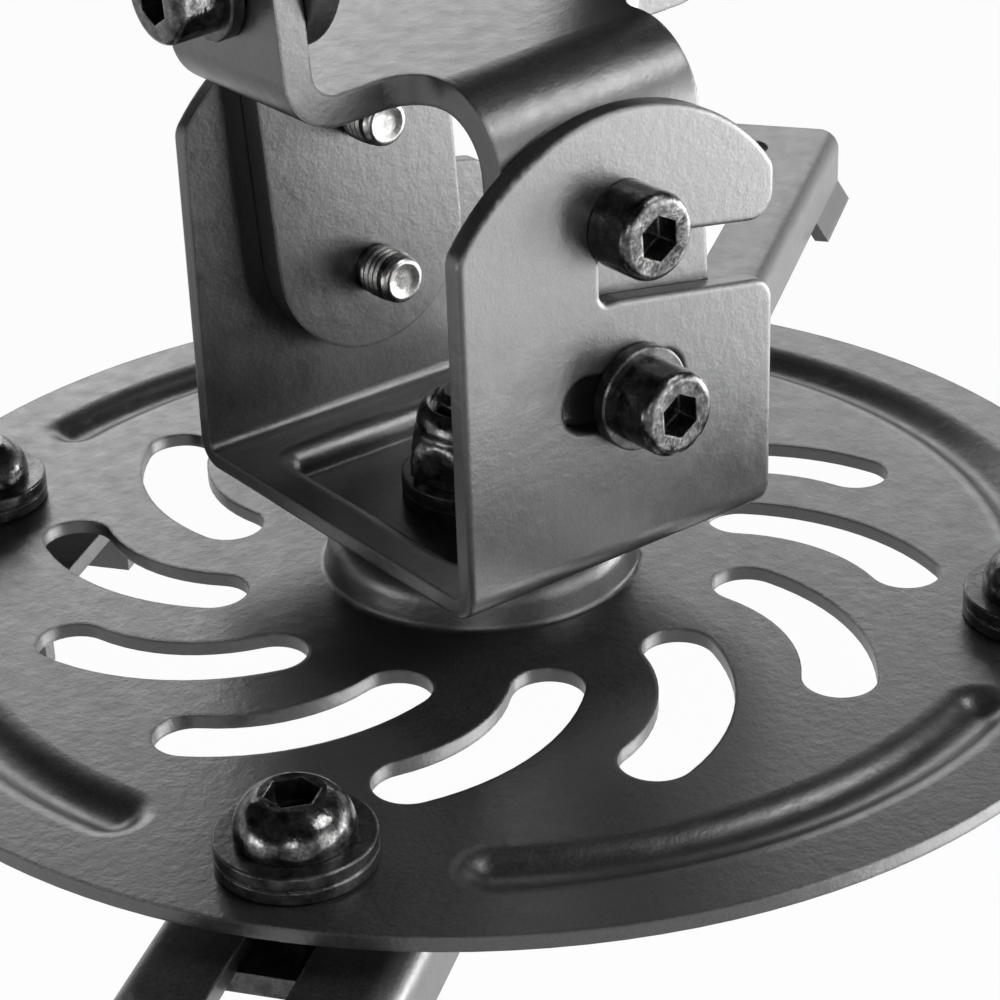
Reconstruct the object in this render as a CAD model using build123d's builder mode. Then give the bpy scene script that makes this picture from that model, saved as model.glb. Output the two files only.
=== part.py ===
"""Ceiling mount for a projector: folded steel brackets, a slotted disc and four sliding arms.

Millimetres, Z up. The origin is on the ceiling face, on the swivel axis, so the whole
mount hangs below Z = 0. X is the tilt axis and Y the roll axis.
"""

import os
from math import asin, cos, degrees, radians, sin

from build123d import *

# Heights, measured down from the ceiling face
roll_drop = 17.4
tilt_drop = 60.0

# Gaps between pieces that move on each other
face_gap = 0.15
hole_clearance = 0.25
thread_gap = 0.05
stack_gap = 0.05

# Fasteners
cap_head_radius = 4.25
cap_head_height = 5.0
cap_head_roll = 0.9
cap_hex = 4.0
cap_shank_radius = 2.5
cap_thread_past_ear = 5.0
cap_washer_radius = 5.2
cap_washer_thickness = 1.5
button_head_radius = 5.5
button_head_height = 4.0
button_head_rim = 0.5
button_flat_radius = 3.1
button_dome_rise = 0.62
button_hex = 4.4
button_socket_depth = 2.4
button_shank_radius = 3.0
button_washer_radius = 7.3
button_washer_thickness = 1.35
swivel_shank_radius = 4.0
swivel_hex = 13.0
swivel_head_height = 5.3
swivel_bolt_past_nut = 1.2
swivel_nut_hex_height = 5.5
swivel_nut_height = 7.6
swivel_nut_collar_radius = 5.9
swivel_nut_collar_roll = 1.2
swivel_nut_chamfer_rise = 0.9
swivel_nut_chamfer_run = 0.4
swivel_washer_radius = 8.0
swivel_washer_thickness = 1.5
washer_count = 2

# Folded yoke between the ceiling bracket and the clevis
yoke_sheet = 3.0
yoke_ear_half_width = 11.7
yoke_ear_round_drop = 14.7
yoke_ear_bend = 8.0
yoke_web_rise = 12.0
yoke_flange_half_width = 9.4
yoke_flange_outer = 25.5
yoke_flange_bend = 5.5
yoke_plan_fillet = 3.5

# Joint slots that guide the lock screws round their pivots
lock_offset = 17.6
lock_slot_half_width = 2.75
tilt_half_angle = 15.0
tilt_rest = 3.7
roll_half_angle = 8.0

# Clevis: the lower U-bracket with the hooked pivot slots
clevis_sheet = 2.0
clevis_half_width = 23.7
clevis_half_depth = 18.9
clevis_base_drop = 35.8
clevis_bend = 3.0
clevis_crown_radius = 23.0
clevis_crown_drop = 12.0
clevis_corner = 2.5
clevis_edge_roll = 0.5
hook_slope = 9.0
hook_mouth_half_height = 3.0
hook_mouth_drop = 7.6
hook_tip_radius = 2.6
hook_corner = 1.2
pocket_half_width = 15.1
pocket_half_depth = 13.2
pocket_depth = 3.0
pocket_corner = 1.5
pocket_rim_roll = 2.4
pocket_under_roll = 1.6

# Disc with swirl slots, pressed grooves and a hollow boss
disc_radius = 67.5
disc_sheet = 1.5
disc_turn = 35.4
boss_height = 5.05
boss_base_radius = 16.5
boss_top_radius = 15.6
boss_top_fillet = 3.2
boss_base_fillet = 0.5
swirl_count = 12
swirl_width = 7.3
swirl_inner_radius = 28.4
swirl_outer_radius = 44.0
swirl_sweep = 21.5
swirl_sagitta = 2.67
screw_rim_margin = 9.9
groove_width = 8.0
groove_depth = 1.5
groove_tip_angle = 14.2

# Arms: channels that slide and swing under the disc
arm_count = 4
arm_sheet = 2.0
arm_turn = 36.2
arm_half_width = 12.2
arm_depth = 8.0
arm_bend = 3.0
arm_outer_reach = 92.0
arm_inner_reach = 12.0
arm_slot_half_width = 3.25
arm_slot_inner_margin = 6.0
arm_slot_outer_margin = 20.0
arm_hole_radius = 3.25
arm_hole_margin = 10.0
arm_lip_length = 18.0
arm_lip_drop = 2.8
arm_lip_flare = 1.8
spacer_radius = 4.6
spacer_height = 3.2
nut_plate_length = 15.4
nut_plate_thickness = 2.2
nut_plate_side_gap = 0.9

# Ceiling bracket: one folded plate with two ears
ceiling_sheet = 3.0
ceiling_length = 132.0
ceiling_corner = 8.0
ceiling_ear_half_width = 11.7
ceiling_ear_round_drop = 30.9
ceiling_bend = 6.0
ceiling_relief = 1.5
ceiling_slot_width = 6.5
ceiling_slot_length = 18.0
ceiling_slot_spacing_x = 96.0
ceiling_slot_spacing_y = 26.0
ceiling_centre_hole_radius = 8.0

# Heights and faces that follow from the sizes above
roll_z = -roll_drop
tilt_z = -tilt_drop
roll_lock_z = roll_z - lock_offset
tilt_lock_z = tilt_z - lock_offset
clevis_base_z = tilt_z - clevis_base_drop
clevis_base_top_z = clevis_base_z + clevis_sheet
pocket_floor_z = clevis_base_top_z - pocket_depth
boss_top_z = pocket_floor_z - clevis_sheet - face_gap
disc_z = boss_top_z - boss_height
screw_circle_radius = disc_radius - screw_rim_margin
clevis_inner = clevis_half_width - clevis_sheet
yoke_ear_outer = clevis_inner - face_gap
yoke_ear_inner = yoke_ear_outer - yoke_sheet
yoke_web_z = tilt_z + yoke_web_rise
yoke_web_top_z = yoke_web_z + yoke_sheet
yoke_flange_inner = yoke_flange_outer - yoke_sheet
ceiling_ear_outer = yoke_flange_inner - face_gap
ceiling_ear_inner = ceiling_ear_outer - ceiling_sheet
arm_top_z = disc_z - disc_sheet - spacer_height - 2 * face_gap
screw_angles = [arm_turn + 360 / arm_count * n for n in range(arm_count)]


def folded_section(plane, points, outer_radius, sheet):
    """Profile of one folded sheet, from the corner points of its outer face."""
    with BuildSketch(plane) as section:
        with BuildLine():
            FilletPolyline(*points, radius=outer_radius)
            offset(amount=sheet, side=Side.LEFT)
        make_face()
    return section.sketch


def cap_screw(seat, length):
    """Socket cap screw; the seat plane lies under the head and faces its top."""
    with BuildPart() as screw:
        with BuildSketch(seat):
            Circle(cap_head_radius)
        extrude(amount=cap_head_height)
        top = screw.faces().sort_by_distance(seat.origin + seat.z_dir * cap_head_height)[0]
        fillet(top.edges(), radius=cap_head_roll)
        with BuildSketch(seat.offset(cap_head_height)):
            RegularPolygon(cap_hex / 2, 6, major_radius=False)
        extrude(amount=-cap_head_height / 2, mode=Mode.SUBTRACT)
        with BuildSketch(seat):
            Circle(cap_shank_radius)
        extrude(amount=-length)
        tip = screw.faces().sort_by_distance(seat.origin - seat.z_dir * length)[0]
        chamfer(tip.edges(), length=0.5)
    return screw.part


def ring(seat, outer_radius, hole_radius, thickness):
    """Plain washer or spacer that stands on its seat plane."""
    with BuildPart() as washer:
        with BuildSketch(seat):
            Circle(outer_radius)
            Circle(hole_radius, mode=Mode.SUBTRACT)
        extrude(amount=thickness)
        chamfer(washer.edges().filter_by(GeomType.CIRCLE).sort_by(SortBy.RADIUS)[-2:], length=0.15)
    return washer.part


def side_plane(axis, distance, z):
    """Plane that faces out along X or Y at a signed distance from the swivel axis."""
    facing = axis * (1 if distance > 0 else -1)
    return Plane(origin=axis * distance + Vector(0, 0, z), x_dir=(0, 0, 1), z_dir=facing)


def screw_pair(axis, seat_distance, tip_distance, z):
    """Two cap screws that face each other across the mount."""
    with BuildPart() as pair:
        for side in (-1, 1):
            add(cap_screw(side_plane(axis, side * seat_distance, z), seat_distance - tip_distance))
    return pair.part


def washer_pair(axis, distance, z):
    """Two washers under the heads of a pair of lock screws."""
    with BuildPart() as pair:
        for side in (-1, 1):
            seat = side_plane(axis, side * distance, z)
            add(ring(seat, cap_washer_radius, cap_shank_radius + thread_gap, cap_washer_thickness))
    return pair.part


# Ceiling bracket, folded from one plate
with BuildPart() as ceiling_bracket:
    ear_round_z = -ceiling_ear_round_drop
    ear_path = [
        (ceiling_ear_outer, ear_round_z),
        (ceiling_ear_outer, 0),
        (-ceiling_ear_outer, 0),
        (-ceiling_ear_outer, ear_round_z),
    ]
    extrude(
        folded_section(Plane.YZ, ear_path, ceiling_bend, ceiling_sheet),
        amount=ceiling_ear_half_width,
        both=True,
    )
    for side in (-1, 1):
        with BuildSketch(side_plane(Vector(0, 1, 0), side * ceiling_ear_outer, ear_round_z)):
            Circle(ceiling_ear_half_width)
        extrude(amount=-ceiling_sheet)
    with BuildSketch(Plane.XY):
        RectangleRounded(ceiling_length, 2 * ceiling_ear_outer, ceiling_corner)
        with GridLocations(0, 2 * ceiling_ear_outer, 1, 2):
            Rectangle(
                2 * (ceiling_ear_half_width + ceiling_relief),
                2 * ceiling_bend,
                mode=Mode.SUBTRACT,
            )
        with GridLocations(ceiling_slot_spacing_x, ceiling_slot_spacing_y, 2, 2):
            SlotOverall(ceiling_slot_length, ceiling_slot_width, mode=Mode.SUBTRACT)
        Circle(ceiling_centre_hole_radius, mode=Mode.SUBTRACT)
    extrude(amount=-ceiling_sheet)
    with BuildSketch(Plane.XY):
        Circle(ceiling_centre_hole_radius)
    extrude(amount=-ceiling_sheet, mode=Mode.SUBTRACT)
    for z in (roll_z, roll_lock_z):
        with BuildSketch(Plane.XZ):
            with Locations((0, z)):
                Circle(cap_shank_radius + thread_gap)
        extrude(amount=ceiling_ear_outer, both=True, mode=Mode.SUBTRACT)

roll_tip = ceiling_ear_inner - cap_thread_past_ear
roll_seat = yoke_flange_outer + face_gap
roll_pivot_screws = screw_pair(Vector(0, 1, 0), roll_seat, roll_tip, roll_z)
roll_lock_washers = washer_pair(Vector(0, 1, 0), roll_seat, roll_lock_z)
roll_lock_screws = screw_pair(
    Vector(0, 1, 0), roll_seat + cap_washer_thickness, roll_tip, roll_lock_z
)

# Yoke, folded down along X and up along Y from one cross-shaped sheet
with BuildPart() as yoke:
    ear_round_z = tilt_z - yoke_ear_round_drop
    ear_path = [
        (yoke_ear_outer, ear_round_z),
        (yoke_ear_outer, yoke_web_top_z),
        (-yoke_ear_outer, yoke_web_top_z),
        (-yoke_ear_outer, ear_round_z),
    ]
    extrude(
        folded_section(Plane.XZ, ear_path, yoke_ear_bend, yoke_sheet),
        amount=yoke_ear_half_width,
        both=True,
    )
    flange_path = [
        (-yoke_flange_outer, roll_z),
        (-yoke_flange_outer, yoke_web_z),
        (yoke_flange_outer, yoke_web_z),
        (yoke_flange_outer, roll_z),
    ]
    extrude(
        folded_section(Plane.YZ, flange_path, yoke_flange_bend, yoke_sheet),
        amount=yoke_flange_half_width,
        both=True,
    )
    inside_corners = (
        yoke.edges()
        .filter_by(Axis.Z)
        .filter_by(lambda edge: abs(abs(edge.center().X) - yoke_flange_half_width) < 0.01)
        .filter_by(lambda edge: abs(abs(edge.center().Y) - yoke_ear_half_width) < 0.01)
    )
    fillet(inside_corners, radius=yoke_plan_fillet)
    for side in (-1, 1):
        with BuildSketch(side_plane(Vector(1, 0, 0), side * yoke_ear_outer, ear_round_z)):
            Circle(yoke_ear_half_width)
        extrude(amount=-yoke_sheet)
        with BuildSketch(side_plane(Vector(0, 1, 0), side * yoke_flange_outer, roll_z)):
            Circle(yoke_flange_half_width)
        extrude(amount=-yoke_sheet)
    for z in (tilt_z, tilt_lock_z):
        with BuildSketch(Plane.YZ):
            with Locations((0, z)):
                Circle(cap_shank_radius + thread_gap)
        extrude(amount=yoke_ear_outer, both=True, mode=Mode.SUBTRACT)
    with BuildSketch(Plane.XZ):
        with Locations((0, roll_z)):
            Circle(cap_shank_radius + hole_clearance)
        with BuildLine() as roll_arc:
            CenterArc((0, roll_z), lock_offset, 270 - roll_half_angle, 2 * roll_half_angle)
        SlotArc(roll_arc.edge(), 2 * lock_slot_half_width)
    extrude(amount=yoke_flange_outer, both=True, mode=Mode.SUBTRACT)

tilt_tip = yoke_ear_inner - cap_thread_past_ear
tilt_seat = clevis_half_width + face_gap
tilt_pivot_screws = screw_pair(Vector(1, 0, 0), tilt_seat, tilt_tip, tilt_z)
tilt_lock_washers = washer_pair(Vector(1, 0, 0), tilt_seat, tilt_lock_z)
tilt_lock_screws = screw_pair(
    Vector(1, 0, 0), tilt_seat + cap_washer_thickness, tilt_tip, tilt_lock_z
)

# Clevis, a U-bracket whose ears hang on the pivot screws by open hooks
with BuildPart() as clevis:
    ear_top = tilt_z - clevis_crown_drop + clevis_crown_radius
    clevis_path = [
        (-clevis_half_width, ear_top),
        (-clevis_half_width, clevis_base_z),
        (clevis_half_width, clevis_base_z),
        (clevis_half_width, ear_top),
    ]
    extrude(
        folded_section(Plane.XZ, clevis_path, clevis_bend, clevis_sheet),
        amount=clevis_half_depth,
        both=True,
    )
    crown_centre_z = tilt_z - clevis_crown_drop
    with BuildSketch(Plane.YZ) as ear_outline:
        with Locations((0, crown_centre_z)):
            Circle(clevis_crown_radius)
            Rectangle(
                2 * clevis_half_depth,
                2 * clevis_crown_radius,
                mode=Mode.INTERSECT,
            )
            Rectangle(
                2 * clevis_half_depth,
                crown_centre_z - clevis_base_z,
                align=(Align.CENTER, Align.MAX),
            )
        shoulders = ear_outline.vertices().filter_by(lambda corner: corner.Y > crown_centre_z + 1)
        fillet(shoulders, radius=clevis_corner)
    extrude(amount=clevis_half_width, both=True, mode=Mode.INTERSECT)
    hook_half_width = cap_shank_radius + hole_clearance
    with BuildSketch(Plane.YZ) as hook:
        with Locations((0, tilt_z)):
            Circle(hook_half_width)
        with Locations((0, tilt_z - hook_mouth_drop / 2)):
            Rectangle(2 * hook_half_width, hook_mouth_drop)
        with Locations(Location((0, tilt_z - hook_mouth_drop + hook_mouth_half_height), -hook_slope)):
            Rectangle(
                2 * clevis_half_depth,
                2 * hook_mouth_half_height,
                align=(Align.MIN, Align.CENTER),
            )
        inner_corner = (-hook_half_width, tilt_z - hook_mouth_drop)
        fillet(hook.vertices().sort_by_distance(inner_corner)[0], radius=hook_corner)
    extrude(amount=clevis_half_width, both=True, mode=Mode.SUBTRACT)
    across_ears = clevis.edges().filter_by(Axis.X)
    hook_tips = across_ears.filter_by(
        lambda edge: edge.center().Y > clevis_half_depth - 0.01 and edge.center().Z > crown_centre_z
    )
    fillet(hook_tips, radius=hook_tip_radius)
    with BuildSketch(Plane.YZ):
        with BuildLine() as tilt_arc:
            CenterArc((0, tilt_z), lock_offset, 270 - tilt_half_angle, 2 * tilt_half_angle)
        SlotArc(tilt_arc.edge(), 2 * lock_slot_half_width)
    extrude(amount=clevis_half_width, both=True, mode=Mode.SUBTRACT)
    ear_faces = clevis.faces().filter_by(Axis.X).filter_by(
        lambda face: abs(face.center().X) > clevis_half_width - 0.01
    )
    punched_edges = ear_faces.edges().filter_by(
        lambda edge: edge.center().Z > clevis_base_z + clevis_bend + 0.01
    )
    fillet(punched_edges, radius=clevis_edge_roll)
    with BuildSketch(Plane.XY.offset(clevis_base_z)):
        RectangleRounded(
            2 * (pocket_half_width + clevis_sheet),
            2 * (pocket_half_depth + clevis_sheet),
            pocket_corner + clevis_sheet,
        )
    extrude(amount=-pocket_depth)
    under_face = clevis.faces().sort_by(Axis.Z)[0]
    fillet(under_face.edges(), radius=pocket_under_roll)
    with BuildSketch(Plane.XY.offset(clevis_base_top_z)):
        RectangleRounded(2 * pocket_half_width, 2 * pocket_half_depth, pocket_corner)
    extrude(amount=-pocket_depth, mode=Mode.SUBTRACT)
    base_top = clevis.edges().filter_by_position(Axis.Z, clevis_base_top_z, clevis_base_top_z)
    pocket_rim = base_top.filter_by(
        lambda edge: abs(edge.center().X) < pocket_half_width + 0.01
        and abs(edge.center().Y) < pocket_half_depth + 0.01
    )
    fillet(pocket_rim, radius=pocket_rim_roll)
    with BuildSketch(Plane.XY.offset(pocket_floor_z)):
        Circle(swivel_shank_radius + thread_gap)
    extrude(amount=-clevis_sheet, mode=Mode.SUBTRACT)

# Swivel bolt with its washers and lock nut
boss_under_z = boss_top_z - disc_sheet - face_gap
swivel_nut_z = pocket_floor_z + washer_count * (swivel_washer_thickness + stack_gap)
with BuildPart() as swivel_bolt:
    with BuildSketch(Plane.XY.offset(boss_under_z)):
        RegularPolygon(swivel_hex / 2, 6, major_radius=False)
    extrude(amount=-swivel_head_height)
    with BuildSketch(Plane.XY.offset(boss_under_z)):
        Circle(swivel_shank_radius)
    extrude(amount=swivel_nut_z + swivel_nut_height + swivel_bolt_past_nut - boss_under_z)
    chamfer(swivel_bolt.faces().sort_by(Axis.Z)[-1].edges(), length=0.8)

with BuildPart() as swivel_washers:
    for n in range(washer_count):
        seat = Plane.XY.offset(pocket_floor_z + n * (swivel_washer_thickness + stack_gap))
        add(
            ring(
                seat,
                swivel_washer_radius,
                swivel_shank_radius + thread_gap,
                swivel_washer_thickness,
            )
        )

with BuildPart() as swivel_nut:
    with BuildSketch(Plane.XY.offset(swivel_nut_z)):
        RegularPolygon(swivel_hex / 2, 6, major_radius=False)
    extrude(amount=swivel_nut_hex_height)
    with BuildSketch(Plane.XZ):
        with BuildLine():
            corner_radius = swivel_hex / 2 / cos(radians(30))
            Polyline(
                (0, swivel_nut_z),
                (swivel_hex / 2, swivel_nut_z),
                (corner_radius, swivel_nut_z + 0.5),
                (corner_radius, swivel_nut_z + swivel_nut_hex_height - swivel_nut_chamfer_rise),
                (swivel_hex / 2 - swivel_nut_chamfer_run, swivel_nut_z + swivel_nut_hex_height),
                (0, swivel_nut_z + swivel_nut_hex_height),
                close=True,
            )
        make_face()
    revolve(axis=Axis.Z, mode=Mode.INTERSECT)
    with BuildSketch(Plane.XY.offset(swivel_nut_z + swivel_nut_hex_height)):
        Circle(swivel_nut_collar_radius)
    extrude(amount=swivel_nut_height - swivel_nut_hex_height)
    fillet(swivel_nut.faces().sort_by(Axis.Z)[-1].edges(), radius=swivel_nut_collar_roll)
    with BuildSketch(Plane.XY.offset(swivel_nut_z)):
        Circle(swivel_shank_radius + thread_gap)
    extrude(amount=swivel_nut_height, mode=Mode.SUBTRACT)


def groove_press(surface_z):
    """Body of the first groove below a face of the sheet, with round ends."""
    start = groove_tip_angle + degrees(2 * asin(groove_width / 4 / screw_circle_radius))
    run = 360 / arm_count - 2 * start
    floor = (0, surface_z - groove_depth)
    flank = (groove_width / 4, surface_z - groove_depth / 2)
    rim = (groove_width / 2, surface_z)
    back_z = surface_z + disc_sheet / 2
    with BuildPart() as press:
        for angle in (start + run, start):
            outward = Vector(1, 0, 0).rotate(Axis.Z, angle)
            centre = outward * screw_circle_radius
            plane = Plane(origin=centre, x_dir=outward, z_dir=outward.rotate(Axis.Z, -90))
            with BuildSketch(plane) as half:
                with BuildLine():
                    TangentArc(floor, flank, tangent=(1, 0))
                    TangentArc(rim, flank, tangent=(-1, 0))
                    Polyline(rim, (groove_width / 2, back_z), (0, back_z), floor)
                make_face()
            revolve(axis=Axis(centre, (0, 0, 1)))
        with BuildSketch(plane):
            add(half.sketch_local)
            mirror(about=Plane.YZ)
        revolve(axis=Axis.Z, revolution_arc=run)
    return press.part


# Disc, pressed from one sheet
with BuildPart() as disc:
    hole_radius = swivel_shank_radius + hole_clearance
    with BuildSketch(Plane.XZ) as disc_section:
        with BuildLine():
            Polyline(
                (hole_radius, boss_top_z),
                (boss_top_radius, boss_top_z),
                (boss_base_radius, disc_z),
                (disc_radius, disc_z),
                (disc_radius, disc_z - disc_sheet),
                (boss_base_radius - disc_sheet, disc_z - disc_sheet),
                (boss_top_radius - disc_sheet, boss_top_z - disc_sheet),
                (hole_radius, boss_top_z - disc_sheet),
                close=True,
            )
        make_face()
        bends = {
            (boss_top_radius, boss_top_z): boss_top_fillet,
            (boss_top_radius - disc_sheet, boss_top_z - disc_sheet): boss_top_fillet - disc_sheet,
            (boss_base_radius, disc_z): boss_base_fillet,
            (boss_base_radius - disc_sheet, disc_z - disc_sheet): boss_base_fillet + disc_sheet,
        }
        for corner, radius in bends.items():
            fillet(disc_section.vertices().sort_by_distance(corner)[0], radius=radius)
    revolve(axis=Axis.Z)
    with PolarLocations(0, arm_count, start_angle=disc_turn):
        add(groove_press(disc_z - disc_sheet))
        add(groove_press(disc_z), mode=Mode.SUBTRACT)
    with BuildSketch(Plane.XY.offset(disc_z)):
        with PolarLocations(0, swirl_count, start_angle=disc_turn):
            with BuildLine() as swirl_arc:
                SagittaArc(
                    (swirl_inner_radius, 0),
                    (
                        swirl_outer_radius * cos(radians(swirl_sweep)),
                        -swirl_outer_radius * sin(radians(swirl_sweep)),
                    ),
                    swirl_sagitta,
                )
            SlotArc(swirl_arc.edge(), swirl_width)
        with PolarLocations(screw_circle_radius, arm_count, start_angle=arm_turn):
            Circle(button_shank_radius + hole_clearance)
    extrude(amount=-disc_sheet, mode=Mode.SUBTRACT)


def arm(seat):
    """Channel arm; the seat plane lies on its top, at the screw, with X along the arm."""
    across = Plane(origin=seat.origin, x_dir=seat.y_dir, z_dir=seat.x_dir)
    reach = arm_inner_reach + arm_outer_reach
    with BuildPart() as channel:
        channel_path = [
            (arm_half_width, -arm_depth),
            (arm_half_width, 0),
            (-arm_half_width, 0),
            (-arm_half_width, -arm_depth),
        ]
        section = folded_section(across.offset(-arm_inner_reach), channel_path, arm_bend, arm_sheet)
        extrude(section, amount=reach)
        with BuildSketch(across.offset(arm_outer_reach)):
            with BuildLine():
                Polyline(
                    (arm_half_width, -arm_depth),
                    (arm_half_width + arm_lip_flare, -arm_depth - arm_lip_drop),
                    (arm_half_width + arm_lip_flare - arm_sheet, -arm_depth - arm_lip_drop),
                    (arm_half_width - arm_sheet, -arm_depth),
                    close=True,
                )
            make_face()
            mirror(about=Plane.YZ)
        extrude(amount=-arm_lip_length)
        slot_start = arm_slot_inner_margin - arm_inner_reach
        slot_end = arm_outer_reach - arm_slot_outer_margin
        with BuildSketch(seat):
            with Locations(((slot_start + slot_end) / 2, 0)):
                SlotOverall(slot_end - slot_start, 2 * arm_slot_half_width)
            with Locations((arm_outer_reach - arm_hole_margin, 0)):
                Circle(arm_hole_radius)
        extrude(amount=-arm_sheet, mode=Mode.SUBTRACT)
    return channel.part


def arm_screw(seat, length):
    """Button head screw; the seat plane lies under the head and faces its top."""
    profile = Plane(origin=seat.origin, x_dir=seat.x_dir, z_dir=-seat.y_dir)
    with BuildPart() as screw:
        with BuildSketch(profile):
            with BuildLine():
                Polyline(
                    (button_flat_radius, button_head_height),
                    (0, button_head_height),
                    (0, -length),
                    (button_shank_radius, -length),
                    (button_shank_radius, 0),
                    (button_head_radius, 0),
                    (button_head_radius, button_head_rim),
                )
                SagittaArc(
                    (button_head_radius, button_head_rim),
                    (button_flat_radius, button_head_height),
                    -button_dome_rise,
                )
            make_face()
        revolve(axis=Axis(seat.origin, seat.z_dir))
        with BuildSketch(seat.offset(button_head_height)):
            RegularPolygon(button_hex / 2, 6, major_radius=False)
        extrude(amount=-button_socket_depth, mode=Mode.SUBTRACT)
    return screw.part


def nut_plate(seat):
    """Square nut that slides in the arm's channel; the seat plane lies on its top."""
    width = 2 * (arm_half_width - arm_sheet - nut_plate_side_gap)
    with BuildPart() as plate:
        with BuildSketch(seat):
            RectangleRounded(nut_plate_length, width, 1)
            Circle(button_shank_radius + thread_gap, mode=Mode.SUBTRACT)
        extrude(amount=-nut_plate_thickness)
    return plate.part


upper_nodes = {
    "ceiling_bracket": ceiling_bracket.part,
    "roll_pivot_screws": roll_pivot_screws,
    "roll_lock_screws": roll_lock_screws,
    "roll_lock_washers": roll_lock_washers,
    "yoke": yoke.part,
    "tilt_pivot_screws": tilt_pivot_screws,
    "tilt_lock_screws": tilt_lock_screws,
    "tilt_lock_washers": tilt_lock_washers,
}
tilted_nodes = {
    "clevis": clevis.part,
    "swivel_bolt": swivel_bolt.part,
    "swivel_washers": swivel_washers.part,
    "swivel_nut": swivel_nut.part,
    "disc": disc.part,
}

# One clamp and one arm at each screw of the disc
plate_z = arm_top_z - arm_sheet - face_gap
for number, angle in enumerate(screw_angles, start=1):
    outward = Vector(1, 0, 0).rotate(Axis.Z, angle)
    arm_seat = Plane(origin=outward * screw_circle_radius, x_dir=outward, z_dir=(0, 0, 1))
    washer_seat = arm_seat.offset(disc_z + face_gap)
    head_seat = washer_seat.offset(washer_count * (button_washer_thickness + stack_gap))
    bore_radius = button_shank_radius + thread_gap
    with BuildPart() as arm_washers:
        for n in range(washer_count):
            washer_plane = washer_seat.offset(n * (button_washer_thickness + stack_gap))
            add(ring(washer_plane, button_washer_radius, bore_radius, button_washer_thickness))
    spacer_seat = arm_seat.offset(arm_top_z + face_gap)
    tilted_nodes[f"arm_{number}"] = arm(arm_seat.offset(arm_top_z))
    tilted_nodes[f"arm_screw_{number}"] = arm_screw(
        head_seat, head_seat.origin.Z - plate_z + nut_plate_thickness
    )
    tilted_nodes[f"arm_washers_{number}"] = arm_washers.part
    tilted_nodes[f"arm_spacer_{number}"] = ring(spacer_seat, spacer_radius, bore_radius, spacer_height)
    tilted_nodes[f"nut_plate_{number}"] = nut_plate(arm_seat.offset(plate_z))

# Everything below the tilt joint rests at a small angle
tilt_axis = Axis((0, 0, tilt_z), (1, 0, 0))
nodes = dict(upper_nodes)
for name, solid in tilted_nodes.items():
    nodes[name] = solid.rotate(tilt_axis, -tilt_rest)

os.makedirs("parts", exist_ok=True)
for name, solid in nodes.items():
    solid.label = name
    export_step(solid, f"parts/{name}.step")
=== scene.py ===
"""Studio scene of a projector ceiling mount: finishes, threads, light and camera.

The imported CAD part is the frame. This script gives every node a procedural finish,
adds the threaded screw ends, the swivel's lock nut and the end of its bolt, and sets
up the studio.
Lengths are in millimetres in the size fields and in metres in Blender.
"""

import logging
import math
from collections.abc import Callable, Iterable
from dataclasses import dataclass, field
from enum import Enum
from typing import Any

import bmesh
import bpy
from mathutils import Matrix, Quaternion, Vector


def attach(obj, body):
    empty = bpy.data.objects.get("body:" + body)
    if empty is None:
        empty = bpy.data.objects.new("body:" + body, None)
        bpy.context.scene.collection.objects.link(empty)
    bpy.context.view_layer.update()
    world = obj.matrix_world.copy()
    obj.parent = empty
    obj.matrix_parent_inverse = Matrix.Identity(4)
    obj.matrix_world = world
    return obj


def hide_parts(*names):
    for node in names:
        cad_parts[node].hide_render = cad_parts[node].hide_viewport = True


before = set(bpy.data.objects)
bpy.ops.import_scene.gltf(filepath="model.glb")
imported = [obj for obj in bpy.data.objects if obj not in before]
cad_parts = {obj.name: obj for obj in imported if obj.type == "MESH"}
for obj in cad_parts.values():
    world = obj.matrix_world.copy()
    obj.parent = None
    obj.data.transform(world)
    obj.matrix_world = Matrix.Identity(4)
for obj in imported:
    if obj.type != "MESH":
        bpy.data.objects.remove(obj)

log = logging.getLogger("projector_mount")

MM = 0.001

# Joints of the CAD part, in millimetres and degrees.
ROLL_HEIGHT = -17.4
TILT_HEIGHT = -60.0
TILT_REST = 3.7
LOCK_SCREW_DROP = 17.6
ARM_COUNT = 4

# Noise values lie mostly between these two.
NOISE_LOW = 0.3
NOISE_HIGH = 0.7

# Cosine between the rounded and the plain normal where the edges' wear and painted highlight is
# full, and where it ends.
EDGE_WEAR_HIGHLIGHT_FULL = 0.86
EDGE_WEAR_HIGHLIGHT_END = 0.985

BEVEL_SAMPLES = 3
ROUGHNESS_PATCH = 2.5
PEEL_DETAIL = 2.0
GRAIN_DETAIL = 1.0
SHARP_ANGLE = 40.0
SENSOR_WIDTH = 36.0
CLIP_START = 0.01

Ring = list[bmesh.types.BMVert]
Section = Iterable[tuple[float, float]]


class Axis(Enum):
    """Direction in which a screw pair faces."""

    X = Vector((1, 0, 0))
    Y = Vector((0, 1, 0))


class Slot(Enum):
    """Names of material slots."""

    POWDER_COAT = "powder_coat"
    BLACK_OXIDE = "black_oxide"
    WASHER_STEEL = "washer_steel"


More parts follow.
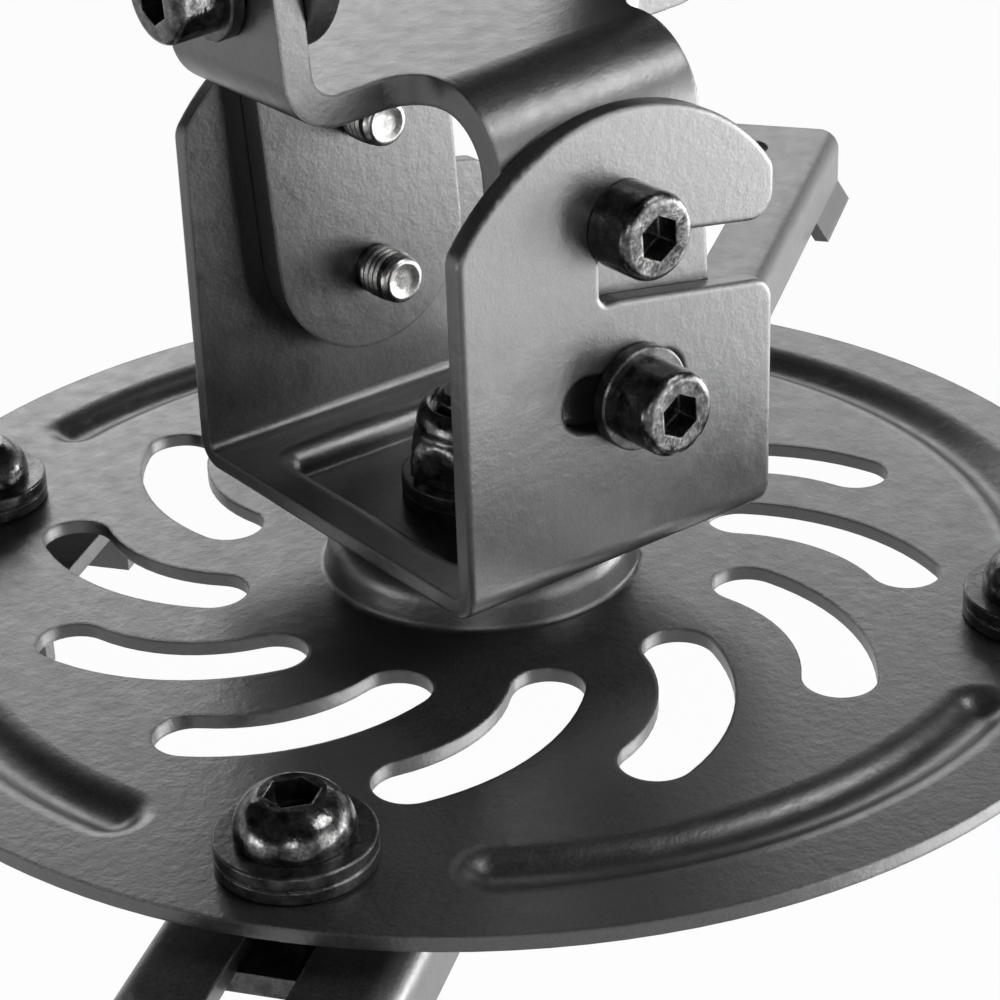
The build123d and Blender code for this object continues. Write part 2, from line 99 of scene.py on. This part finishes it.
class Graph:
    """Thin helper over a node tree, so that finishes read as a chain of steps.

    Attributes:
        COLOR_FIRST: Mix node's input for the first colour.
        COLOR_SECOND: Mix node's input for the second colour.
        COLOR_RESULT: Mix node's output for the mixed colour.
    """

    COLOR_FIRST = 6
    COLOR_SECOND = 7
    COLOR_RESULT = 2

    def __init__(self, tree: bpy.types.NodeTree) -> None:
        """Empties the tree.

        Args:
            tree: Node tree of a material or world.
        """
        self.tree = tree
        tree.nodes.clear()

    def fill(self, socket: bpy.types.NodeSocket, value: Any) -> None:
        """Links or sets one input.

        Args:
            socket: Input socket.
            value: Output socket to link, or a plain value.
        """
        if isinstance(value, bpy.types.NodeSocket):
            self.tree.links.new(value, socket)
        else:
            socket.default_value = value

    def add(self, kind: str, **inputs: Any) -> bpy.types.Node:
        """Adds a node and fills its sockets.

        Args:
            kind: Blender's node type, such as ShaderNodeBump.
            inputs: Socket names with spaces as underscores, given as values or output sockets.

        Returns:
            The new node.
        """
        node = self.tree.nodes.new(kind)
        for name, value in inputs.items():
            self.fill(node.inputs[name.replace("_", " ")], value)
        return node

    def combine(self, operation: str, first: Any, second: Any) -> bpy.types.NodeSocket:
        """Joins two numbers.

        Args:
            operation: Blender's name of the sum, such as MULTIPLY.
            first: Value or output socket.
            second: Value or output socket.

        Returns:
            The result's socket.
        """
        node = self.tree.nodes.new("ShaderNodeMath")
        node.operation = operation
        self.fill(node.inputs[0], first)
        self.fill(node.inputs[1], second)
        return node.outputs[0]

    def noise(self, size: float, detail: float = 3.0) -> bpy.types.NodeSocket:
        """Adds noise fixed to the object.

        Args:
            size: Size of one bump in millimetres.
            detail: Number of finer octaves.

        Returns:
            The noise value's socket.
        """
        place = self.add("ShaderNodeTexCoord").outputs["Object"]
        return self.add(
            "ShaderNodeTexNoise", Vector=place, Scale=1 / (size * MM), Detail=detail
        ).outputs[0]

    def spread(self, value: bpy.types.NodeSocket, low: float, high: float) -> bpy.types.NodeSocket:
        """Maps a noise value onto a range.

        Args:
            value: Noise socket to map.
            low: Result at the noise's usual low end.
            high: Result at the noise's usual high end.

        Returns:
            The mapped socket.
        """
        node = self.add("ShaderNodeMapRange", Value=value, To_Min=low, To_Max=high)
        node.inputs["From Min"].default_value = NOISE_LOW
        node.inputs["From Max"].default_value = NOISE_HIGH
        return node.outputs[0]

    def fall(self, value: bpy.types.NodeSocket, full: float, end: float) -> bpy.types.NodeSocket:
        """Fades from 1 to 0.

        Args:
            value: Socket to fade over.
            full: Value up to which the result is 1.
            end: Value from which the result is 0.

        Returns:
            The faded socket.
        """
        node = self.add("ShaderNodeMapRange", Value=value, To_Min=1.0, To_Max=0.0)
        node.interpolation_type = "SMOOTHSTEP"
        node.inputs["From Min"].default_value = full
        node.inputs["From Max"].default_value = end
        return node.outputs[0]

    def tint(
        self, share: bpy.types.NodeSocket, low: Any, high: tuple[float, float, float]
    ) -> bpy.types.NodeSocket:
        """Mixes two colours.

        Args:
            share: Socket with the share of the second colour.
            low: First colour, as a value or an output socket.
            high: Second colour.

        Returns:
            The mixed colour's socket.
        """
        node = self.add("ShaderNodeMix", Factor=share)
        node.data_type = "RGBA"
        self.fill(node.inputs[self.COLOR_FIRST], low)
        self.fill(node.inputs[self.COLOR_SECOND], (*high, 1))
        return node.outputs[self.COLOR_RESULT]

    def blend(
        self, share: bpy.types.NodeSocket, low: bpy.types.Node, high: bpy.types.Node
    ) -> bpy.types.NodeSocket:
        """Mixes two shaders.

        Args:
            share: Socket with the share of the second shader.
            low: First shader.
            high: Second shader.

        Returns:
            The mixed shader's socket.
        """
        node = self.add("ShaderNodeMixShader")
        for socket, value in zip(node.inputs, (share, low.outputs[0], high.outputs[0])):
            self.fill(socket, value)
        return node.outputs[0]

    def seen(self) -> bpy.types.NodeSocket:
        """Marks the rays that show the background: camera, mirror and glass rays.

        Returns:
            A socket that is 1 for such a ray.
        """
        rays = self.add("ShaderNodeLightPath").outputs
        direct = self.combine("MAXIMUM", rays["Is Camera Ray"], rays["Is Glossy Ray"])
        return self.combine("MAXIMUM", direct, rays["Is Transmission Ray"])


@dataclass(frozen=True)
class Finish:
    """One surface finish with its fine relief.

    Attributes:
        name: Name of the material.
        color: Base colour.
        worn_color: Colour towards which the base colour drifts in patches.
        edge_wear_highlight_color: Colour of worn edges, lighter also to paint a highlight along
            them.
        metallic: Share of metal.
        roughness: Mean roughness.
        roughness_spread: Change of roughness across the surface.
        specular: Strength of the mirror reflection of a painted surface.
        patch_size: Size of the colour patches in millimetres.
        speckle_color: Colour of the fine speckle.
        speckle_size: Size of one speck in millimetres.
        speckle: Largest share of the speckle colour.
        peel_size: Size of the coarse bumps in millimetres.
        peel_height: Height of the coarse bumps in millimetres.
        grain_size: Size of the fine grain in millimetres.
        grain_height: Height of the fine grain in millimetres.
        edge_radius: Radius to which sharp edges appear rounded, in millimetres.
        edge_wear_highlight_share: Largest share of the edge colour on edges, which paints wear and
            a highlight there.
    """

    name: str
    color: tuple[float, float, float]
    worn_color: tuple[float, float, float]
    edge_wear_highlight_color: tuple[float, float, float]
    metallic: float
    roughness: float
    roughness_spread: float
    specular: float
    patch_size: float
    speckle_color: tuple[float, float, float]
    speckle_size: float
    speckle: float
    peel_size: float
    peel_height: float
    grain_size: float
    grain_height: float
    edge_radius: float
    edge_wear_highlight_share: float

    def worn_and_highlit_edges(self, graph: Graph, edge: bpy.types.NodeSocket) -> bpy.types.NodeSocket:
        """Finds the edges, where the finish is painted lighter in patches: wear, and a painted
        highlight along the edges.

        Args:
            graph: Node tree of the material.
            edge: Normal that is rounded at edges.

        Returns:
            A socket that rises to the edge wear share on edges, in noise patches, for painted wear
            and highlight.
        """
        bend = graph.add("ShaderNodeVectorMath")
        bend.operation = "DOT_PRODUCT"
        graph.fill(bend.inputs[0], edge)
        graph.fill(bend.inputs[1], graph.add("ShaderNodeNewGeometry").outputs["Normal"])
        # Lighter edges paint both wear and a highlight along every edge; noise breaks the line
        # into patches.
        line = graph.fall(bend.outputs["Value"], EDGE_WEAR_HIGHLIGHT_FULL, EDGE_WEAR_HIGHLIGHT_END)
        wear_highlight_patches = graph.spread(graph.noise(self.patch_size), 0.0, self.edge_wear_highlight_share)
        return graph.combine("MULTIPLY", line, wear_highlight_patches)

    def relief(self, graph: Graph, edge: bpy.types.NodeSocket) -> bpy.types.NodeSocket:
        """Adds the coarse and the fine bumps.

        Args:
            graph: Node tree of the material.
            edge: Normal that is rounded at edges.

        Returns:
            The bumpy normal's socket.
        """
        normal = edge
        bumps = (
            (self.peel_size, PEEL_DETAIL, self.peel_height),
            (self.grain_size, GRAIN_DETAIL, self.grain_height),
        )
        for size, detail, height in bumps:
            bump = graph.add(
                "ShaderNodeBump",
                Height=graph.noise(size, detail),
                Distance=height * MM,
                Normal=normal,
            )
            normal = bump.outputs[0]
        return normal

    def build(self) -> bpy.types.Material:
        """Makes the material.

        Returns:
            A material with colour, roughness and relief from nodes.
        """
        material = bpy.data.materials.new(self.name)
        material.use_nodes = True
        graph = Graph(material.node_tree)
        bevel = graph.add("ShaderNodeBevel", Radius=self.edge_radius * MM)
        bevel.samples = BEVEL_SAMPLES
        edge = bevel.outputs[0]
        patches = graph.spread(graph.noise(self.patch_size), 0.0, 1.0)
        speckle = graph.spread(graph.noise(self.speckle_size, GRAIN_DETAIL), 0.0, self.speckle)
        color = graph.tint(patches, (*self.color, 1), self.worn_color)
        color = graph.tint(speckle, color, self.speckle_color)
        rough = graph.spread(
            graph.noise(ROUGHNESS_PATCH),
            self.roughness - self.roughness_spread,
            self.roughness + self.roughness_spread,
        )
        # The base colour turns lighter on edges: painted wear and a painted highlight.
        shader = graph.add(
            "ShaderNodeBsdfPrincipled",
            Base_Color=graph.tint(self.worn_and_highlit_edges(graph, edge), color, self.edge_wear_highlight_color),
            Metallic=self.metallic,
            Roughness=rough,
            Specular_IOR_Level=self.specular,
            Normal=self.relief(graph, edge),
        )
        graph.add("ShaderNodeOutputMaterial", Surface=shader.outputs[0])
        return material


# Each finish's edge colour is lighter than its base: it paints edge wear and a highlight along the
# edges.
POWDER_COAT = Finish(
    name="powder_coat",
    color=(0.009, 0.009, 0.0095),
    worn_color=(0.013, 0.013, 0.0135),
    edge_wear_highlight_color=(0.070, 0.070, 0.071),
    metallic=0.0,
    roughness=0.34,
    roughness_spread=0.04,
    specular=1.0,
    patch_size=9.0,
    speckle_color=(0.050, 0.050, 0.051),
    speckle_size=0.30,
    speckle=0.45,
    peel_size=1.2,
    peel_height=0.034,
    grain_size=0.32,
    grain_height=0.013,
    edge_radius=0.5,
    edge_wear_highlight_share=0.6,
)
BLACK_OXIDE = Finish(
    name="black_oxide",
    color=(0.022, 0.022, 0.023),
    worn_color=(0.160, 0.158, 0.156),
    edge_wear_highlight_color=(0.450, 0.445, 0.440),
    metallic=0.9,
    roughness=0.20,
    roughness_spread=0.09,
    specular=0.8,
    patch_size=1.3,
    speckle_color=(0.010, 0.010, 0.010),
    speckle_size=0.35,
    speckle=0.6,
    peel_size=0.9,
    peel_height=0.045,
    grain_size=0.25,
    grain_height=0.008,
    edge_radius=0.30,
    edge_wear_highlight_share=0.7,
)
WASHER_STEEL = Finish(
    name="washer_steel",
    color=(0.030, 0.030, 0.031),
    worn_color=(0.110, 0.110, 0.111),
    edge_wear_highlight_color=(0.300, 0.298, 0.295),
    metallic=0.8,
    roughness=0.30,
    roughness_spread=0.08,
    specular=0.8,
    patch_size=1.6,
    speckle_color=(0.012, 0.012, 0.012),
    speckle_size=0.35,
    speckle=0.5,
    peel_size=0.8,
    peel_height=0.025,
    grain_size=0.2,
    grain_height=0.006,
    edge_radius=0.2,
    edge_wear_highlight_share=0.5,
)
BARE_STEEL = Finish(
    name="bare_steel",
    color=(0.20, 0.198, 0.195),
    worn_color=(0.42, 0.415, 0.41),
    edge_wear_highlight_color=(0.70, 0.69, 0.68),
    metallic=1.0,
    roughness=0.34,
    roughness_spread=0.08,
    specular=0.5,
    patch_size=0.9,
    speckle_color=(0.10, 0.098, 0.095),
    speckle_size=0.30,
    speckle=0.5,
    peel_size=0.6,
    peel_height=0.02,
    grain_size=0.15,
    grain_height=0.005,
    edge_radius=0.08,
    edge_wear_highlight_share=0.3,
)


class Finishes:
    """The materials of the part, made once and shared."""

    def __init__(self) -> None:
        """Builds every finish."""
        kinds = (POWDER_COAT, BLACK_OXIDE, WASHER_STEEL, BARE_STEEL)
        self.materials = {finish.name: finish.build() for finish in kinds}

    def dress(self, piece: bpy.types.Object, finish: Finish) -> None:
        """Gives a piece one finish.

        Args:
            piece: Mesh object.
            finish: Finish to use all over it.
        """
        piece.data.materials.clear()
        piece.data.materials.append(self.materials[finish.name])


def tilted() -> Matrix:
    """Rest pose of everything below the tilt joint.

    Returns:
        The matrix, in millimetres, that takes the level drawing to the part's frame.
    """
    pivot = Matrix.Translation((0, 0, TILT_HEIGHT))
    return pivot @ Matrix.Rotation(math.radians(-TILT_REST), 4, "X") @ pivot.inverted()


def seat(origin: Vector, up: Vector) -> Matrix:
    """Local frame of a turned piece.

    Args:
        origin: Foot of the piece's axis, in millimetres.
        up: Direction of its axis.

    Returns:
        The matrix that takes the piece's own drawing there.
    """
    return Matrix.Translation(origin) @ up.to_track_quat("Z", "Y").to_matrix().to_4x4()


class Turning:
    """A mesh made of rings round one axis, drawn in millimetres."""

    def __init__(self, place: Matrix, steps: int) -> None:
        """Starts an empty mesh.

        Args:
            place: Frame of the axis, which is its z axis.
            steps: Points in one ring.
        """
        self.mesh = bmesh.new()
        self.place = place
        self.steps = steps

    def point(self, radius: float, angle: float, height: float) -> bmesh.types.BMVert:
        """Adds a point.

        Args:
            radius: Distance from the axis.
            angle: Angle round the axis, in radians.
            height: Place along the axis.

        Returns:
            The new vertex.
        """
        spot = Vector((radius * math.cos(angle), radius * math.sin(angle), height))
        return self.mesh.verts.new(self.place @ spot * MM)

    def spin(self, section: Section, limit: Callable[[float], float] | None = None) -> list[Ring]:
        """Turns an outline round the axis.

        Args:
            section: Radius and height of each ring.
            limit: Largest radius at an angle, such as that of a hexagon.

        Returns:
            The rings from the first to the last.
        """
        angles = [math.tau * step / self.steps for step in range(self.steps)]
        rings = []
        for radius, height in section:
            reach = [min(radius, limit(angle)) if limit else radius for angle in angles]
            rings.append([self.point(r, angle, height) for r, angle in zip(reach, angles)])
        for first, second in zip(rings, rings[1:]):
            for step in range(self.steps):
                after = (step + 1) % self.steps
                self.mesh.faces.new((first[step], first[after], second[after], second[step]))
        return rings

    def close(self, ring: Ring) -> None:
        """Fills a ring with one face.

        Args:
            ring: Vertices in order.
        """
        self.mesh.faces.new(ring)

    def finish(self, name: str) -> bpy.types.Object:
        """Turns the mesh into a smooth object with sharp edges kept.

        Args:
            name: Piece name.

        Returns:
            The new object.
        """
        bmesh.ops.recalc_face_normals(self.mesh, faces=self.mesh.faces)
        data = bpy.data.meshes.new(name)
        self.mesh.to_mesh(data)
        self.mesh.free()
        data.shade_smooth()
        data.set_sharp_from_angle(angle=math.radians(SHARP_ANGLE))
        piece = bpy.data.objects.new(name, data)
        bpy.context.scene.collection.objects.link(piece)
        return piece


@dataclass
class Thread:
    """Threaded end of a screw, over the plain shank of the CAD part.

    Attributes:
        shank_radius: Radius of the CAD shank.
        crest: Height of the thread over the shank.
        sink: Depth of the thread's root inside the shank.
        root_half: Half of the root's width, as a share of the pitch.
        crest_half: Half of the crest's width, as a share of the pitch.
        pitch: Rise of one turn.
        steps: Points round one turn.
        lip: Height of the cupped end's rim over the CAD end.
        length: Length of thread that stands out of the tapped sheet.
        start: Distance of the thread's first turn from the end.
    """

    shank_radius: float = 2.5
    crest: float = 0.24
    sink: float = 0.05
    root_half: float = 0.5
    crest_half: float = 0.12
    pitch: float = 0.8
    steps: int = 40
    lip: float = 0.32
    length: float = 4.6
    start: float = 0.4

    def wind(self, turning: Turning) -> None:
        """Winds the thread from near the screw's end towards its head.

        Args:
            turning: Mesh whose axis runs from the end to the head.
        """
        count = int((self.length / self.pitch - 1) * self.steps)
        valley = self.shank_radius - self.sink
        rows = []
        for step in range(count + 1):
            turn = step / self.steps
            run_in = min(1.0, turn, (count - step) / self.steps)
            crest = valley + (self.crest + self.sink) * run_in
            middle = self.start + self.pitch * (self.root_half + turn)
            section = (
                (valley, -self.root_half),
                (crest, -self.crest_half),
                (crest, self.crest_half),
                (valley, self.root_half),
            )
            rows.append(
                [turning.point(r, math.tau * turn, middle + self.pitch * h) for r, h in section]
            )
        for first, second in zip(rows, rows[1:]):
            for low in range(len(first) - 1):
                high = low + 1
                turning.mesh.faces.new((first[low], first[high], second[high], second[low]))

    def cup(self, turning: Turning) -> None:
        """Covers the screw's cut end with a shallow cup.

        Args:
            turning: Mesh whose axis runs from the end to the head.
        """
        root = self.shank_radius
        # Floor, wall, rim and chamfer of the cup, from the middle out.
        section = (
            (root * 0.30, -0.08),
            (root * 0.55, -0.11),
            (root * 0.72, -self.lip),
            (root * 0.84, -self.lip),
            (root * 0.97, -0.05),
            (root + 0.06, 0.35),
        )
        turning.close(turning.spin(section)[0])

    def build(self, name: str, places: Iterable[Matrix]) -> bpy.types.Object:
        """Makes the threaded ends of several screws as one piece.

        Args:
            name: Piece name.
            places: Frames of the ends, each looking towards the screw's head.

        Returns:
            The new object.
        """
        turning = Turning(Matrix(), self.steps)
        for place in places:
            turning.place = place
            self.wind(turning)
            self.cup(turning)
        return turning.finish(name)


@dataclass
class SubAssembly:
    """Pieces that move together on one body.

    Attributes:
        body: CAD body that carries the pieces.
        coated: CAD nodes with the powder coat.
        fasteners: CAD nodes of black screws and nuts.
        washers: CAD nodes of washers and plain small plates.
    """

    body: str
    coated: tuple[str, ...] = ()
    fasteners: tuple[str, ...] = ()
    washers: tuple[str, ...] = ()

    def dress(self, finishes: Finishes) -> None:
        """Gives the CAD nodes their finishes.

        Args:
            finishes: Materials of the part.
        """
        groups = (
            (self.coated, POWDER_COAT),
            (self.fasteners, BLACK_OXIDE),
            (self.washers, WASHER_STEEL),
        )
        for nodes, finish in groups:
            for node in nodes:
                finishes.dress(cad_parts[node], finish)
                log.info("%s: %s in %s", self.body, node, finish.name)

    def carry(
        self, piece: bpy.types.Object, slot: Slot, finishes: Finishes, finish: Finish
    ) -> None:
        """Puts a new piece on the body.

        Args:
            piece: New object in the part's frame.
            slot: Material slot; not used.
            finishes: Materials of the part.
            finish: Finish of the piece.
        """
        finishes.dress(piece, finish)
        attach(piece, self.body)
        log.info("%s: %s added, %d faces", self.body, piece.name, len(piece.data.polygons))

    def build(self, finishes: Finishes) -> None:
        """Dresses the CAD nodes; sub-assemblies with pieces of their own add them.

        Args:
            finishes: Materials of the part.
        """
        self.dress(finishes)


@dataclass
class ScrewedEars(SubAssembly):
    """A bracket whose two ears carry a pivot and a lock screw each.

    Attributes:
        joint: Name of the joint.
        axis: Axis along which the screws lie.
        pivot_height: Height of the pivot screws.
        tip: Distance of the screw ends from the swivel axis.
        thread: Thread of the screws.
    """

    joint: str = ""
    axis: Axis = Axis.X
    pivot_height: float = 0.0
    tip: float = 0.0
    thread: Thread = field(default_factory=Thread)

    def build(self, finishes: Finishes) -> None:
        """Dresses the bracket and adds the threaded ends of its screws.

        Args:
            finishes: Materials of the part.
        """
        self.dress(finishes)
        rows = {"pivot": self.pivot_height, "lock": self.pivot_height - LOCK_SCREW_DROP}
        for kind, height in rows.items():
            outward = [self.axis.value * side for side in (-1, 1)]
            places = [seat(way * self.tip + Vector((0, 0, height)), way) for way in outward]
            piece = self.thread.build(f"{self.joint}_{kind}_threads", places)
            self.carry(piece, Slot.BLACK_OXIDE, finishes, BARE_STEEL)


@dataclass
class SwivelClevis(SubAssembly):
    """The clevis with the bolt on which the disc turns.

    Attributes:
        nut_foot: Height of the lock nut's foot in the level drawing.
        across_flats: Width of the nut's hexagon.
        corner_turn: Angle of one of its corners, in degrees.
        nut_height: Height of the nut with its collar.
        collar_radius: Radius of the collar that grips the nylon ring.
        bolt_radius: Radius of the swivel bolt.
        bore_gap: Play between the bolt and the nut.
        bolt_rise: Height of the bolt's end over the nut.
        steps: Points round the nut.
    """

    nut_foot: float = -93.7
    across_flats: float = 13.0
    corner_turn: float = 16.0
    nut_height: float = 7.6
    collar_radius: float = 6.3
    bolt_radius: float = 4.0
    bore_gap: float = 0.06
    bolt_rise: float = 1.2
    steps: int = 96

    def flats(self, angle: float) -> float:
        """Radius of the hexagon.

        Args:
            angle: Angle from a corner, in radians.

        Returns:
            Distance from the axis to the hexagon's side.
        """
        sixth = math.tau / 6
        return self.across_flats / 2 / math.cos(angle % sixth - sixth / 2)

    def nut(self) -> bpy.types.Object:
        """Makes the lock nut with its rolled collar.

        Returns:
            The new object.
        """
        corner = self.across_flats / math.sqrt(3)
        top, collar, bore = self.nut_height, self.collar_radius, self.bolt_radius + self.bore_gap
        # Foot and hexagon, corner cone, rolled collar, and the ring inside it.
        section = (
            (bore, 0.0),
            (self.across_flats / 2 + 0.2, 0.0),
            (corner, 0.5),
            (corner, top - 5.2),
            (collar + 0.75, top - 4.1),
            (collar + 0.40, top - 3.4),
            (collar + 0.15, top - 3.0),
            (collar - 0.02, top - 2.75),
            (collar - 0.08, top - 2.5),
            (collar - 0.08, top - 2.0),
            (collar - 0.20, top - 1.3),
            (collar - 0.45, top - 0.7),
            (collar - 0.85, top - 0.22),
            (collar - 1.30, top),
            (collar - 1.55, top - 0.12),
            (collar - 1.70, top - 0.5),
            (bore, top - 0.62),
        )
        turn = Matrix.Rotation(math.radians(self.corner_turn), 4, "Z")
        place = tilted() @ Matrix.Translation((0, 0, self.nut_foot)) @ turn
        turning = Turning(place, self.steps)
        turning.spin(section, self.flats)
        return turning.finish("lock_nut")

    def bolt_end(self) -> bpy.types.Object:
        """Makes the chamfered end of the bolt with its last turn of thread.

        Returns:
            The new object.
        """
        radius, rise = self.bolt_radius, self.bolt_rise
        # Flat end, chamfer and last turn of thread, from the middle out.
        section = (
            (radius * 0.50, rise + 0.05),
            (radius * 0.78, rise + 0.04),
            (radius * 0.83, rise - 0.02),
            (radius * 0.90, rise - 0.38),
            (radius * 0.93, rise - 0.50),
            (radius + 0.05, rise - 0.62),
            (radius + 0.05, rise - 0.85),
            (radius + 0.02, rise - 1.1),
        )
        level = self.nut_foot + self.nut_height
        turning = Turning(tilted() @ Matrix.Translation((0, 0, level)), self.steps)
        turning.close(turning.spin(section)[0])
        return turning.finish("swivel_bolt_end")

    def build(self, finishes: Finishes) -> None:
        """Dresses the clevis and adds the lock nut and the bolt's end.

        Args:
            finishes: Materials of the part.
        """
        self.dress(finishes)
        nut = self.nut()
        self.carry(nut, Slot.BLACK_OXIDE, finishes, BLACK_OXIDE)
        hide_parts("swivel_nut")
        self.carry(self.bolt_end(), Slot.BLACK_OXIDE, finishes, BLACK_OXIDE)


def sub_assemblies() -> list[SubAssembly]:
    """Lists the mount from the ceiling down.

    Returns:
        The sub-assemblies in the order in which they are built.
    """
    mount: list[SubAssembly] = [
        ScrewedEars(
            "ceiling",
            ("ceiling_bracket",),
            ("roll_pivot_screws", "roll_lock_screws"),
            ("roll_lock_washers",),
            joint="roll",
            axis=Axis.Y,
            pivot_height=ROLL_HEIGHT,
            tip=14.35,
        ),
        ScrewedEars(
            "yoke_body",
            ("yoke",),
            ("tilt_pivot_screws", "tilt_lock_screws"),
            ("tilt_lock_washers",),
            joint="tilt",
            axis=Axis.X,
            pivot_height=TILT_HEIGHT,
            tip=13.55,
        ),
        SwivelClevis(
            "clevis_body",
            ("clevis",),
            ("swivel_bolt", "swivel_nut"),
            ("swivel_washers",),
        ),
        SubAssembly("disc_body", ("disc",)),
    ]
    for number in range(1, ARM_COUNT + 1):
        small = (f"arm_washers_{number}", f"arm_spacer_{number}", f"nut_plate_{number}")
        mount.append(SubAssembly(f"clamp_{number}", (), (f"arm_screw_{number}",), small))
        mount.append(SubAssembly(f"arm_body_{number}", (f"arm_{number}",)))
    return mount


@dataclass
class Lamp:
    """Soft area lamp.

    Attributes:
        name: Lamp name.
        place: Position in metres.
        aim: Height of the point on the swivel axis that it faces, in metres.
        width: Width in metres.
        height: Height in metres.
        power: Power in watts.
    """

    name: str
    place: tuple[float, float, float]
    aim: float
    width: float
    height: float
    power: float

    def build(self) -> None:
        """Adds the lamp, hidden from the camera."""
        data = bpy.data.lights.new(self.name, "AREA")
        data.shape = "RECTANGLE"
        data.size = self.width
        data.size_y = self.height
        data.energy = self.power
        lamp = bpy.data.objects.new(self.name, data)
        lamp.location = self.place
        sight = Vector((0, 0, self.aim)) - lamp.location
        lamp.rotation_euler = sight.to_track_quat("-Z", "Y").to_euler()
        lamp.visible_camera = False
        bpy.context.scene.collection.objects.link(lamp)


@dataclass
class Studio:
    """Pale floor, soft lamps and the camera.

    Attributes:
        floor_drop: Height of the floor below the ceiling face, in metres.
        floor_size: Side of the floor in metres.
        floor_glow: Share of plain white that the floor shows over its shadow.
        paper: Lightness of the floor under the lamps.
        wall: Lightness of the white wall.
        wall_full: Sine of the elevation up to which the white wall is full.
        wall_end: Sine of the elevation at which the white wall has ended.
        ambient: Strength of the even light from all round.
        ambient_grey: Lightness of that light.
        camera_place: Camera position in millimetres.
        camera_aim: Point that the camera faces, in millimetres.
        camera_roll: Turn of the camera about its line of sight, in degrees.
        lens: Focal length in millimetres, on the sensor width.
        lamps: Soft lamps.
    """

    floor_drop: float = 1.30
    floor_size: float = 40.0
    floor_glow: float = 0.97
    paper: float = 0.9
    wall: float = 0.985
    wall_full: float = 0.14
    wall_end: float = 0.34
    ambient: float = 0.08
    ambient_grey: float = 0.5
    camera_place: tuple[float, float, float] = (206.25, -146.13, 43.71)
    camera_aim: tuple[float, float, float] = (7.24, -5.02, -93.7)
    camera_roll: float = -5.38
    lens: float = 99.85
    lamps: tuple[Lamp, ...] = (
        Lamp("low_softbox", (0.7, 0.9, -0.5), -0.07, 1.1, 1.0, 17),
        Lamp("side_softbox", (1.1, 0.55, 0.0), -0.07, 0.8, 0.8, 5),
        Lamp("key_softbox", (0.86, 0.73, 0.86), -0.07, 0.7, 0.5, 13),
        Lamp("rear_softbox", (0.45, 1.15, -0.3), -0.07, 0.8, 0.6, 20),
        Lamp("back_softbox", (-1.0, 0.8, 0.37), -0.1, 1.6, 0.4, 5.5),
        Lamp("left_softbox", (-1.15, 0.25, 0.45), -0.1, 0.8, 0.3, 1.4),
        Lamp("edge_softbox", (0.95, -0.75, 0.25), -0.07, 0.3, 0.3, 2.5),
        Lamp("front_softbox", (-0.3, -1.2, -0.05), -0.07, 0.6, 0.3, 3.3),
    )

    def build_world(self) -> None:
        """Lights the scene evenly and shows a white wall round the floor."""
        world = bpy.data.worlds.new("studio")
        world.use_nodes = True
        bpy.context.scene.world = world
        graph = Graph(world.node_tree)
        direction = graph.add("ShaderNodeTexCoord").outputs["Generated"]
        height = graph.add("ShaderNodeSeparateXYZ", Vector=direction).outputs["Z"]
        rise = graph.fall(height, self.wall_full, self.wall_end)
        grey = (self.ambient_grey, self.ambient_grey, self.ambient_grey, 1)
        soft = graph.add("ShaderNodeBackground", Color=grey, Strength=self.ambient)
        pale = (self.wall, self.wall, self.wall, 1)
        white = graph.add("ShaderNodeBackground", Color=pale, Strength=1.0)
        share = graph.combine("MULTIPLY", graph.seen(), rise)
        graph.add("ShaderNodeOutputWorld", Surface=graph.blend(share, soft, white))

    def build_floor(self) -> None:
        """Adds the pale floor."""
        mesh = bmesh.new()
        bmesh.ops.create_grid(mesh, x_segments=2, y_segments=2, size=self.floor_size / 2)
        data = bpy.data.meshes.new("floor")
        mesh.to_mesh(data)
        mesh.free()
        floor = bpy.data.objects.new("floor", data)
        floor.location.z = -self.floor_drop
        bpy.context.scene.collection.objects.link(floor)
        material = bpy.data.materials.new("floor")
        material.use_nodes = True
        graph = Graph(material.node_tree)
        pale = (self.paper, self.paper, self.paper, 1)
        paper = graph.add("ShaderNodeBsdfDiffuse", Color=pale)
        glow = graph.add("ShaderNodeEmission", Color=(1, 1, 1, 1), Strength=1.0)
        share = graph.combine("MULTIPLY", graph.seen(), self.floor_glow)
        graph.add("ShaderNodeOutputMaterial", Surface=graph.blend(share, paper, glow))
        data.materials.append(material)

    def build_camera(self) -> None:
        """Adds the camera at the photograph's view."""
        data = bpy.data.cameras.new("camera")
        data.lens = self.lens
        data.sensor_width = SENSOR_WIDTH
        data.clip_start = CLIP_START
        camera = bpy.data.objects.new("camera", data)
        camera.location = Vector(self.camera_place) * MM
        sight = Vector(self.camera_aim) * MM - camera.location
        roll = Quaternion((0, 0, 1), math.radians(self.camera_roll))
        camera.rotation_mode = "QUATERNION"
        camera.rotation_quaternion = sight.to_track_quat("-Z", "Y") @ roll
        bpy.context.scene.collection.objects.link(camera)
        bpy.context.scene.camera = camera

    def build(self) -> None:
        """Sets up the whole studio."""
        bpy.context.scene.view_settings.view_transform = "Standard"
        self.build_world()
        self.build_floor()
        self.build_camera()
        for lamp in self.lamps:
            lamp.build()


def main() -> None:
    """Builds the mount and the studio."""
    logging.basicConfig(level=logging.INFO)
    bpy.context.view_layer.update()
    finishes = Finishes()
    for unit in sub_assemblies():
        unit.build(finishes)
    Studio().build()


if __name__ == "__main__":
    main()
